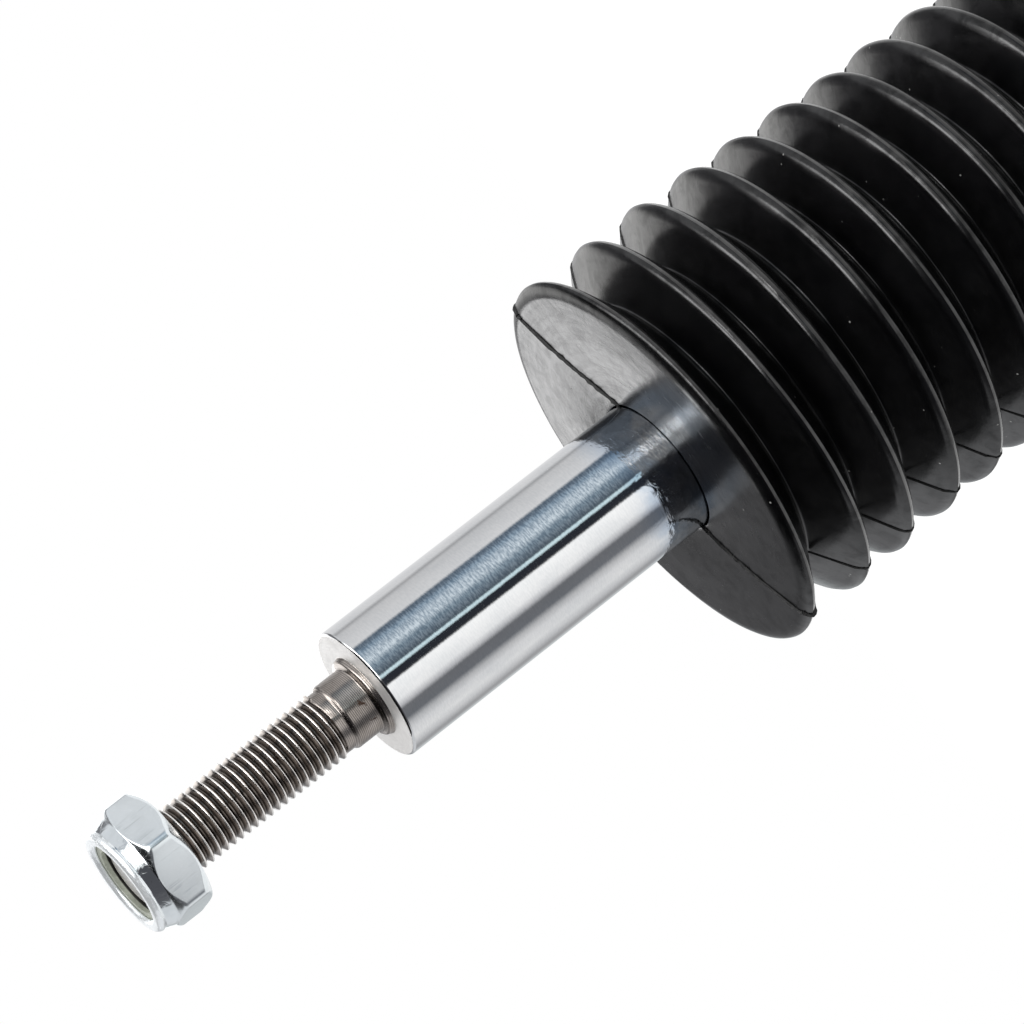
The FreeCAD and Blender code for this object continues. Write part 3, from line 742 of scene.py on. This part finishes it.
def rod_profile():
    """The rod from its lower end up to the shank's relief."""
    return rounded([
        (0, rod_bottom, 0),
        (spigot_r, rod_bottom, spigot_rounding),
        (spigot_r, rod_shoulder, shoulder_rounding),
        (rod_r, rod_shoulder, rod_edge),
        (rod_r, -rod_edge, rod_edge_rounding),
        (rod_r - rod_edge, 0, rod_edge_rounding),
        (fillet_ring_r + ring_foot, 0, ring_foot_rounding),
        (fillet_ring_r, fillet_ring_height, ring_rounding),
        (shank_r, fillet_ring_height + ring_step, ring_step_rounding),
        (shank_r, shank_length, shank_rounding),
        (relief_r, shank_length + relief_slope, relief_rounding),
        (relief_r, shank_length + relief_length, 0)])


def make_rod(chrome, steel, faced):
    """Rod, shank, screw thread and tip in one mesh; its stud and its faced ends take their own steel."""
    profile = rod_profile()
    columns = rod_columns
    points = turned(profile, columns)
    faces = grid_faces(len(profile), columns)
    low = shank_length + relief_length
    high = stud_tip - tip_chamfer
    start = len(points)
    screw, count, turn = helix(low, high)
    points += screw
    faces += helix_faces(count, turn, start)
    start = len(points)
    tip = [(thread_r, high), (thread_r - tip_chamfer, stud_tip), (0, stud_tip)]
    points += turned(tip, columns)
    faces += grid_faces(len(tip), columns, start)
    piece = new_piece("rod_and_stud", points, faces, chrome, "rod", thread_smooth_limit)
    steel_index, faced_index = 1, 2
    piece.data.materials.append(steel)
    piece.data.materials.append(faced)
    for face in piece.data.polygons:
        middle = face.center / MM
        out = math.hypot(middle.x, middle.y)
        if middle.z > -end_margin and out < rod_r - rod_edge / 2:
            faced_end = out > fillet_ring_r + ring_margin or middle.z > stud_tip - end_margin
            face.material_index = faced_index if faced_end else steel_index
    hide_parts("piston_rod")


def soft_least(first, second, softness):
    """Smaller of two values, blended where they are close."""
    gap = np.clip(0.5 + (second - first) / (2 * softness), 0, 1)
    return second + (first - second) * gap - softness * gap * (1 - gap)


def hexagon(angle):
    """Radius of the nut's flats at an angle, with softened corners."""
    first_flat = math.radians(nut_corner_angle) + nut_side_turn / 2
    sides = [math.cos(angle - first_flat - nut_side_turn * side) for side in range(nut_sides)]
    nearest = sorted(nut_flat / side for side in sides if side > nut_side_facing)
    return soft_least(nearest[0], nearest[1], nut_edge_softness) if len(nearest) > 1 else nearest[0]


def limited(corners):
    """Corners with each rounding kept under half of the shorter side next to it."""
    kept = [corners[0]]
    for before, here, after in zip(corners, corners[1:], corners[2:]):
        shorter = min(math.dist(before[:2], here[:2]), math.dist(here[:2], after[:2]))
        kept.append((here[0], here[1], max(min(here[2], rounding_share * shorter), least_rounding)))
    return kept + [corners[-1]]


def nut_profile(angle):
    """Section of the nut at one angle: pocket, bore, chamfered flat, collar, rolled lip and mouth."""
    shoulder = nut_low + nut_hex_height - nut_shoulder_sink
    lip_low = nut_high - nut_lip
    wide = hexagon(angle)
    seat_rise = (wide - nut_seat_r) * nut_seat_slope
    shoulder_r = min(nut_shoulder_r, wide - nut_shoulder_margin)
    shoulder_drop = (wide - shoulder_r) * nut_shoulder_slope
    corners = [
        (nut_pocket_r, nut_pocket_low, 0),
        (nut_bore_r, nut_pocket_low, nut_bore_rounding),
        (nut_bore_r, nut_low + nut_bore_chamfer, nut_chamfer_roundings[0]),
        (nut_bore_r + nut_bore_chamfer, nut_low, nut_chamfer_roundings[1]),
        (nut_seat_r, nut_low, nut_seat_rounding),
        (wide, nut_low + seat_rise, nut_edge),
        (wide, shoulder - shoulder_drop, nut_edge),
        (shoulder_r, shoulder, nut_shoulder_rounding),
        (nut_collar_r, shoulder + nut_fillet_rise, nut_fillet),
        (nut_collar_top_r, lip_low, nut_lip_crease),
        (nut_collar_top_r + nut_lip_out, lip_low + nut_lip_rise, nut_lip_rounding),
        (nut_collar_top_r - nut_lip_in, nut_high, nut_lip_top_rounding),
        (nut_mouth_r + nut_mouth_roll, nut_high, nut_mouth_roundings[0]),
        (nut_mouth_r, nut_high - nut_mouth_roll, nut_mouth_roundings[1]),
        (nut_mouth_r, nut_pocket_high, nut_pocket_rounding),
        (nut_pocket_r, nut_pocket_high, nut_pocket_rounding),
        (nut_pocket_r, nut_pocket_low, 0)]
    return rounded(limited(corners), nut_steps)


def make_nut(material):
    """Hexagon nut with a rolled collar, open mouth and a pocket for the nylon ring."""
    angles = np.linspace(0, 2 * math.pi, nut_columns, endpoint=False)
    sections = [nut_profile(angle) for angle in angles]
    rows = len(sections[0])
    points = [polar(section[row][0], angle, section[row][1])
              for row in range(rows) for angle, section in zip(angles, sections)]
    piece = new_piece("lock_nut_body", points, grid_faces(rows, nut_columns), material, "nut")
    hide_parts("lock_nut")


def fold_value(values, fold):
    """One of the unevenness lists at a place between folds, fading out below the last value."""
    places = list(range(len(values))) + [len(values) + 1]
    return float(np.interp(fold, places, values + [0.0]))


def boot_crests():
    """Radius and level of every crest; the last one stands half a fold above the last valley."""
    pitch = (boot_rim - boot_last_valley - boot_first_gap) / (boot_folds - 0.5)
    crests = []
    for fold in range(boot_folds):
        taper = ease(fold / boot_tapered_folds)
        radius = boot_r + (boot_low_crest_r - boot_r) * taper
        level = boot_rim - fold * pitch - (boot_first_gap if fold else 0.0) - fold_value(fold_sink, fold)
        crests.append((radius, level))
    return crests


def boot_profile(inset, bead, crease, steps):
    """Rows (radius, level, fold) of one side of the boot's wall, from the lip down to the last valley."""
    crests = boot_crests()
    half_pitch = (crests[-2][1] - crests[-1][1]) / 2
    slant = math.atan2(half_pitch, crests[-1][0] - boot_valley_r)
    inward = inset / math.sin(slant)
    crease_in = crease / 2 * math.cos(slant)
    lip = boot_rim + face_lip_rise - inset
    corners = [(rod_r + boot_lip_gap, lip - lip_depth, 0), (rod_r + lip_groove, lip, lip_rounding)]
    for (radius, rise), rounding in zip(face_points, face_rounding):
        corners.append((radius, boot_rim + rise - inset, rounding))
    for fold, (radius, level) in enumerate(crests):
        front = fold == 0 and not inset
        lift = face_edge_lift if front else 0.0
        rounding = boot_first_bead if front else bead
        crest_out = rounding / 2 * math.cos(slant)
        corners.append((radius + crest_out - inward, level + lift, rounding))
        if fold + 1 < boot_folds:
            below = (level + crests[fold + 1][1]) / 2
            corners.append((boot_valley_r - crease_in - inward * boot_inset_at_valley, below, crease))
    corners.append((boot_cuff_r - inset, boot_last_valley, 0))
    points = rounded(corners, steps)
    levels = [boot_rim + boot_face_reach] + [level for _, level in crests]
    folds = [0] + list(range(boot_folds))
    return [(r, z, float(np.interp(-z, [-value for value in levels], folds))) for r, z in points]


def boot_point(row, angle):
    """Place of one point of the boot: the fold's lean, shift and wavering rim added to the turned shape."""
    radius, level, fold = row
    free = float(ease((radius - rod_r - held_at_rod) / (boot_r - rod_r)))
    phase = waver_phase_fold * fold
    waver = sum(math.sin(turns * angle + waver_phase_turn * turns + phase) for turns in rim_waver_turns)
    loose = float(ease((level - boot_last_valley) / waver_fade))
    radius += rim_waver * waver / len(rim_waver_turns) * free * loose
    lean = fold_value(fold_lean_x, fold) * math.cos(angle)
    lean -= fold_value(fold_lean_near, fold) * math.sin(angle)
    x = radius * math.cos(angle) + fold_value(fold_shift, fold) * free
    return (x, radius * math.sin(angle), level + lean * free)


def make_boot(material):
    """Bellows as one closed wall: outside from the lip to the cuff, then back up the inside."""
    outside = boot_profile(0.0, boot_bead, boot_crease, boot_steps)
    inside = boot_profile(boot_wall, boot_inner_bead, boot_inner_crease, boot_inner_steps)
    rows = outside + list(reversed(inside))
    angles = np.linspace(0, 2 * math.pi, boot_columns, endpoint=False)
    points = [boot_point(row, angle) for row in rows for angle in angles]
    faces = grid_faces(len(rows), boot_columns, closed=True)
    piece = new_piece("boot_bellows", points, faces, material, "strut_body")
    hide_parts("dust_boot")
    return piece


def flash_angle(row, at_rim, at_rod):
    """Angle of the parting line at a row: on the front face it runs straight from the rim to the rod."""
    if row[1] < boot_rim:
        return math.radians(at_rim)
    share = np.clip((row[0] - rod_r) / (boot_r - rod_r), 0.0, 1.0)
    inner = np.array(polar(rod_r, math.radians(at_rod), 0))
    outer = np.array(polar(boot_r, math.radians(at_rim), 0))
    x, y, _ = inner * (1 - share) + outer * share
    return math.atan2(y, x)


def surface_ridge(row, rows, angle, sides, height):
    """Three corners of the ridge at one row: two sunk in the rubber and one standing out of it."""
    index = rows.index(row)
    before = np.array(boot_point(rows[max(index - 1, 0)], angle))
    after = np.array(boot_point(rows[min(index + 1, len(rows) - 1)], angle))
    left, right = (np.array(side) for side in sides)
    out = np.cross(right - left, after - before)
    out = -out / max(np.linalg.norm(out), TINY)
    top = (left + right) / 2 + out * height
    return [tuple(left - out * flash_sink), tuple(top), tuple(right - out * flash_sink)]


def make_flash(material):
    """Thin ragged line of moulding flash down both sides of the boot, widest on the front face."""
    rows = boot_profile(0.0, boot_bead, boot_crease, boot_steps)[flash_first_row:]
    chance = np.random.default_rng(flash_seed)
    points = []
    faces = []
    for at_rim, at_rod, half_width in flash_lines:
        start = len(points)
        for row in rows:
            angle = flash_angle(row, at_rim, at_rod) + chance.normal(0, flash_wander)
            share = 1.0 if row[2] < flash_front_fold else flash_fold_share
            spread = share * half_width * chance.uniform(*flash_width_range) / row[0]
            height = share * flash_height * chance.uniform(*flash_height_range)
            sides = [boot_point(row, angle + side * spread) for side in (-1, 1)]
            points += surface_ridge(row, rows, angle, sides, height)
        faces += grid_faces(len(rows), flash_corners, start)
        faces.append((start, start + 1, start + 2))
        last = start + flash_corners * (len(rows) - 1)
        faces.append((last, last + 2, last + 1))
    return new_piece("boot_flash", points, faces, material, "strut_body")


def make_cuff(material):
    """Plain cuff of the boot on the body's neck, with a rounded end bead."""
    corners = [(boot_cuff_inner_r, boot_last_valley, 0), (boot_cuff_r, boot_last_valley, 0)]
    corners += [(boot_cuff_r, cuff_bottom, cuff_rounding), (boot_cuff_inner_r, cuff_bottom, 0)]
    profile = rounded(corners)
    faces = grid_faces(len(profile), boot_columns, closed=True)
    return new_piece("boot_cuff", turned(profile, boot_columns), faces, material, "strut_body")


def make_weld(material):
    """Rippled weld along the bracket's upper edge, round the tube's back."""
    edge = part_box("knuckle_bracket")[1].z / MM
    path_r = tube_r + weld_r * weld_overlap
    count = int((weld_to - weld_from) * path_r / weld_step)
    points = []
    for index in range(count + 1):
        angle = weld_from + (weld_to - weld_from) * index / count
        ends = min(index, count - index, weld_end) / weld_end
        ripple = 1 - weld_ripple * (index % weld_ripple_steps) / weld_ripple_steps
        thick = weld_r * ripple * (weld_end_share + (1 - weld_end_share) * math.sqrt(ends))
        for side in range(weld_sides):
            turn = 2 * math.pi * side / weld_sides
            points.append(polar(path_r + thick * math.cos(turn), angle, edge + thick * math.sin(turn)))
    faces = grid_faces(count + 1, weld_sides)
    faces.append(tuple(range(weld_sides)))
    faces.append(tuple(count * weld_sides + side for side in range(weld_sides)))
    return new_piece("bracket_weld", points, faces, material, "strut_body", weld_smooth_limit)


def paint_nodes(finishes):
    """Give CAD nodes that stay visible their look."""
    for material, nodes in finishes:
        for node in nodes:
            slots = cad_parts[node].data.materials
            slots.clear()
            slots.append(material)


# Studio seen in the metal and rubber: degrees from the camera's side towards -X, then red, green and blue
studio_low = [
    (-180, 0.92, 0.92, 0.93), (-130, 0.87, 0.87, 0.88), (-121, 0.5, 0.5, 0.51),
    (-113, 0.75, 0.75, 0.76), (-95, 0.84, 0.84, 0.85), (-74, 0.93, 0.93, 0.94),
    (-69.5, 0.15, 0.195, 0.25), (-65, 0.17, 0.22, 0.28), (-58, 0.33, 0.43, 0.53),
    (-48, 0.6, 0.69, 0.77), (-38, 0.7, 0.79, 0.86), (-28, 0.27, 0.35, 0.42),
    (-19, 0.2, 0.25, 0.3), (-11.5, 0.1, 0.13, 0.16), (-9.6, 0.85, 1.06, 1.12),
    (-6.2, 0.85, 1.06, 1.12), (-4.6, 0.03, 0.034, 0.045), (6.6, 0.035, 0.038, 0.046),
    (9.0, 1.36, 1.36, 1.35), (36, 1.15, 1.15, 1.15), (45, 0.68, 0.68, 0.7),
    (51, 0.2, 0.205, 0.22), (68, 0.2, 0.21, 0.23), (78, 0.66, 0.66, 0.67),
    (90, 0.92, 0.92, 0.93), (108, 1.0, 1.0, 1.0), (122, 0.8, 0.8, 0.81),
    (140, 0.44, 0.44, 0.45), (149, 0.48, 0.48, 0.49), (158, 0.64, 0.67, 0.68),
    (180, 0.64, 0.67, 0.68)]
studio_middle = [
    (-180, 0.3, 0.3, 0.31), (-172, 0.28, 0.28, 0.29), (-164, 1.45, 1.44, 1.42),
    (-155, 1.45, 1.44, 1.42), (-147, 0.22, 0.22, 0.23), (-130, 0.22, 0.22, 0.23),
    (-118, 0.85, 0.86, 0.88), (-66, 0.85, 0.86, 0.88), (-60, 0.5, 0.52, 0.56),
    (-52, 1.5, 1.5, 1.48), (-11, 1.5, 1.5, 1.48), (-3, 0.1, 0.1, 0.11),
    (52, 0.09, 0.09, 0.1), (80, 0.14, 0.14, 0.15), (94, 0.8, 0.81, 0.83),
    (150, 0.8, 0.81, 0.83), (166, 0.3, 0.3, 0.31), (180, 0.3, 0.3, 0.31)]
studio_high = [
    (-180, 0.02, 0.02, 0.021), (-124, 0.02, 0.02, 0.021), (-110, 2.2, 2.2, 2.2),
    (-88, 6.5, 6.5, 6.5), (-12, 8.0, 8.0, 8.0), (-3, 0.08, 0.08, 0.085),
    (60, 0.02, 0.02, 0.021), (180, 0.02, 0.02, 0.021)]
studio_top = (0.01, 0.01, 0.011)
studio_ground = (0.86, 0.86, 0.86)

# Heights between which one ring passes into the next, as the sine of the angle above the horizon
ground_ends = (-0.75, -0.45)
eye_level = (-0.14, 0.02)
high_starts = (0.56, 0.62)
top_starts = (0.74, 0.8)

# Strength of the even white light that matt surfaces get from all round
fill_level = 0.55


def make_world():
    """White to the camera; in reflections a studio of boxes and dark gaps, ring above ring."""
    world = bpy.data.worlds.new("studio")
    scene.world = world
    world.use_nodes = True
    world.cycles.sampling_method = "NONE"
    nodes = Nodes(world.node_tree)
    nodes.tree.nodes.clear()
    direction = nodes.node("SeparateXYZ", {0: nodes.node("TexCoord", {}).outputs["Generated"]})
    x, y, z = direction.outputs
    turn = nodes.math("ARCTAN2", nodes.times(x, -1.0), nodes.times(y, -1.0))
    share = nodes.linear(turn, 0.5 / math.pi, 0.5)

    def ring(stops):
        """Colours of one ring, as a ramp over the full turn."""
        made = nodes.node("ValToRGB", {0: share})
        elements = made.color_ramp.elements
        for azimuth, *colour in stops[1:-1]:
            elements.new((azimuth + 180) / 360).color = (*colour, 1.0)
        elements[0].color = (*stops[0][1:], 1.0)
        elements[-1].color = (*stops[-1][1:], 1.0)
        return made.outputs[0]

    around = nodes.mix(nodes.ramp(z, *ground_ends), studio_ground, ring(studio_low))
    around = nodes.mix(nodes.ramp(z, *eye_level), around, ring(studio_middle))
    around = nodes.mix(nodes.ramp(z, *high_starts), around, ring(studio_high))
    around = nodes.mix(nodes.ramp(z, *top_starts), around, studio_top)
    white = (1.0, 1.0, 1.0)
    rays = nodes.node("LightPath", {})
    fill = nodes.node("Background", {"Color": white, "Strength": fill_level})
    seen = nodes.node("Background", {"Color": around, "Strength": 1.0})
    plain = nodes.node("Background", {"Color": white, "Strength": 1.0})
    mirrored = rays.outputs["Is Glossy Ray"]
    glossy = nodes.node("MixShader", {0: mirrored, 1: fill.outputs[0], 2: seen.outputs[0]})
    straight = nodes.math("MAXIMUM", rays.outputs["Is Camera Ray"], rays.outputs["Is Transmission Ray"])
    both = nodes.node("MixShader", {0: straight, 1: glossy.outputs[0], 2: plain.outputs[0]})
    nodes.node("OutputWorld", {0: both.outputs[0]})


# Floor, in millimetres, with its tone and the strength of its glow
floor_radius = 900.0
floor_gap = 0.2
floor_columns = 96
floor_tone = (0.42, 0.42, 0.42)
floor_glow = 0.62


def make_floor():
    """Round pale floor under the strut: lit diffusely, with enough glow to reach white outside the shadow."""
    level = cad_box[0].z / MM - floor_gap
    mesh = bpy.data.meshes.new("floor")
    edge = turned([(floor_radius, level)], floor_columns)
    mesh.from_pydata(scaled(edge), [], [tuple(range(floor_columns))])
    floor = bpy.data.objects.new("floor", mesh)
    scene.collection.objects.link(floor)
    material = bpy.data.materials.new("floor")
    material.use_nodes = True
    nodes = Nodes(material.node_tree)
    nodes.tree.nodes.clear()
    rays = nodes.node("LightPath", {})
    seen = nodes.math("MAXIMUM", rays.outputs["Is Camera Ray"], rays.outputs["Is Glossy Ray"])
    seen = nodes.math("MAXIMUM", seen, rays.outputs["Is Transmission Ray"])
    pale = nodes.node("BsdfDiffuse", {"Color": floor_tone})
    glow = nodes.node("Emission", {"Strength": nodes.times(seen, floor_glow)})
    both = nodes.node("AddShader", {0: pale.outputs[0], 1: glow.outputs[0]})
    nodes.node("OutputMaterial", {"Surface": both.outputs[0]})
    mesh.materials.append(material)


# Soft boxes: place in metres, size and power, aimed at the strut's middle
lamps = [("key_box", (-0.9, -1.0, 0.9), 0.9, 16.0),
         ("fill_box", (1.1, -0.5, 0.5), 1.1, 9.0),
         ("back_box", (0.4, 1.2, 0.9), 1.0, 9.0)]
lamp_aim = Vector((0.0, 0.0, -0.18))

# White panels that the camera doesn't see: one close behind the strut for the boot's front face, a card
# behind the stud for the rod's end face and the nut's mouth, one in front for the corner of rod and boot.
# Name, middle in X and Y, direction it faces, width, edges along Z (metres), level.
panels = [("back_panel", (0.023, 0.16), (0.0, -1.0), 0.044, (-0.036, 0.025), 2.5),
          ("stud_card", (0.024, 0.08), (0.0, -1.0), 0.092, (0.012, 0.075), 0.9),
          ("front_panel", (0.353, -0.485), (-0.588, 0.809), 0.169, (0.131, 0.203), 9.0)]


def add_lamp(name, place, aim, power):
    """Area lamp that the camera doesn't see."""
    data = bpy.data.lights.new(name, "AREA")
    data.energy = power
    lamp = bpy.data.objects.new(name, data)
    lamp.location = place
    lamp.rotation_euler = (Vector(aim) - Vector(place)).to_track_quat("-Z", "Y").to_euler()
    lamp.visible_camera = False
    scene.collection.objects.link(lamp)
    return lamp


def make_lamps():
    """Soft boxes that reflections don't show, and the white panels."""
    for name, place, size, power in lamps:
        lamp = add_lamp(name, place, lamp_aim, power)
        lamp.data.size = size
        lamp.visible_glossy = False
    for name, middle, facing, width, upward, level in panels:
        height = upward[1] - upward[0]
        place = Vector(middle + (sum(upward) / 2,))
        panel = add_lamp(name, place, place + Vector(facing + (0.0,)), level * math.pi * width * height)
        panel.data.shape = "RECTANGLE"
        panel.data.size = width
        panel.data.size_y = height


# Camera, from the photograph: pixel focal length, tilt below square to the axis, roll, and the seat's pixel
photo_side = 1024.0
focal_pixels = 4700.0
pixels_per_mm = 7.55
camera_tilt = math.radians(17.83)
camera_roll = math.radians(37.73)
seat_pixel_right = -146.7
seat_pixel_up = -183.4
sensor = 36.0


def make_camera():
    """Long lens beside the strut, rolled so that the stud points to the lower left."""
    ahead = Vector((0.0, math.cos(camera_tilt), -math.sin(camera_tilt)))
    down_axis = (Vector((0.0, 0.0, -1.0)) - math.sin(camera_tilt) * ahead) / math.cos(camera_tilt)
    across = (-ahead).cross(down_axis)
    right = math.cos(camera_roll) * down_axis - math.sin(camera_roll) * across
    up = math.sin(camera_roll) * down_axis + math.cos(camera_roll) * across
    distance = focal_pixels / pixels_per_mm * MM
    aim = ahead + seat_pixel_right / focal_pixels * right + seat_pixel_up / focal_pixels * up
    data = bpy.data.cameras.new("camera")
    data.sensor_width = sensor
    data.lens = sensor * focal_pixels / photo_side
    camera = bpy.data.objects.new("camera", data)
    turn = Matrix((right, up, -ahead)).transposed().to_4x4()
    camera.matrix_world = Matrix.Translation(-distance * aim) @ turn
    scene.collection.objects.link(camera)
    scene.camera = camera


def main():
    """Build every piece, finish every node, and set up the studio."""
    scene.view_settings.view_transform = "Standard"
    rubber = boot_finish()
    make_rod(chrome_finish(), stud_finish(), end_face_finish())
    make_nut(nut_finish())
    boot = make_boot(rubber)
    flash = make_flash(plain_rubber_finish("flash_rubber", (0.002, 0.002, 0.002), 0.55))
    for piece in (boot, flash):
        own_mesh(piece)
    cuff = make_cuff(rubber)
    paint = paint_finish()
    make_weld(paint)
    paint_nodes([
        # The nylon insert is painted near-black below this level as shade
        (nylon_finish("nylon", (0.34, 0.36, 0.3), nut_pocket_high - insert_shade_depth), ["lock_nut_insert"]),
        (nylon_finish("band_ptfe", (0.16, 0.14, 0.12)), ["piston_band"]),
        (zinc_finish(), ["body_tube", "base_cup"]),
        (turned_metal_finish("band_steel", (0.62, 0.62, 0.62), 0.22), ["boot_clamp"]),
        (plain_rubber_finish("foam", (0.03, 0.03, 0.031), 0.75), ["bump_stop"]),
        (plain_rubber_finish("seal_rubber", (0.018, 0.018, 0.019), 0.5),
         ["rod_wiper", "rod_seal", "guide_o_ring", "rebound_buffer"]),
        (turned_metal_finish("guide_metal", (0.6, 0.6, 0.59), 0.3), ["rod_guide", "ring_nut", "piston"]),
        (turned_metal_finish("bush_bronze", (0.62, 0.47, 0.25), 0.28), ["guide_bush"]),
        (turned_metal_finish("inner_steel", (0.58, 0.58, 0.58), 0.24), ["inner_cylinder", "rebound_stop"]),
        (turned_metal_finish("valve_steel", (0.52, 0.52, 0.53), 0.26),
         ["rebound_shims", "compression_shims", "base_valve_shims", "valve_washers", "piston_nut",
          "base_valve", "base_valve_bolt"]),
        (paint, ["knuckle_bracket", "hose_bracket"]),
        (anodised_finish(), ["spring_seat", "adjuster_collar", "lock_ring"]),
    ])
    make_world()
    make_floor()
    make_lamps()
    make_camera()


main()
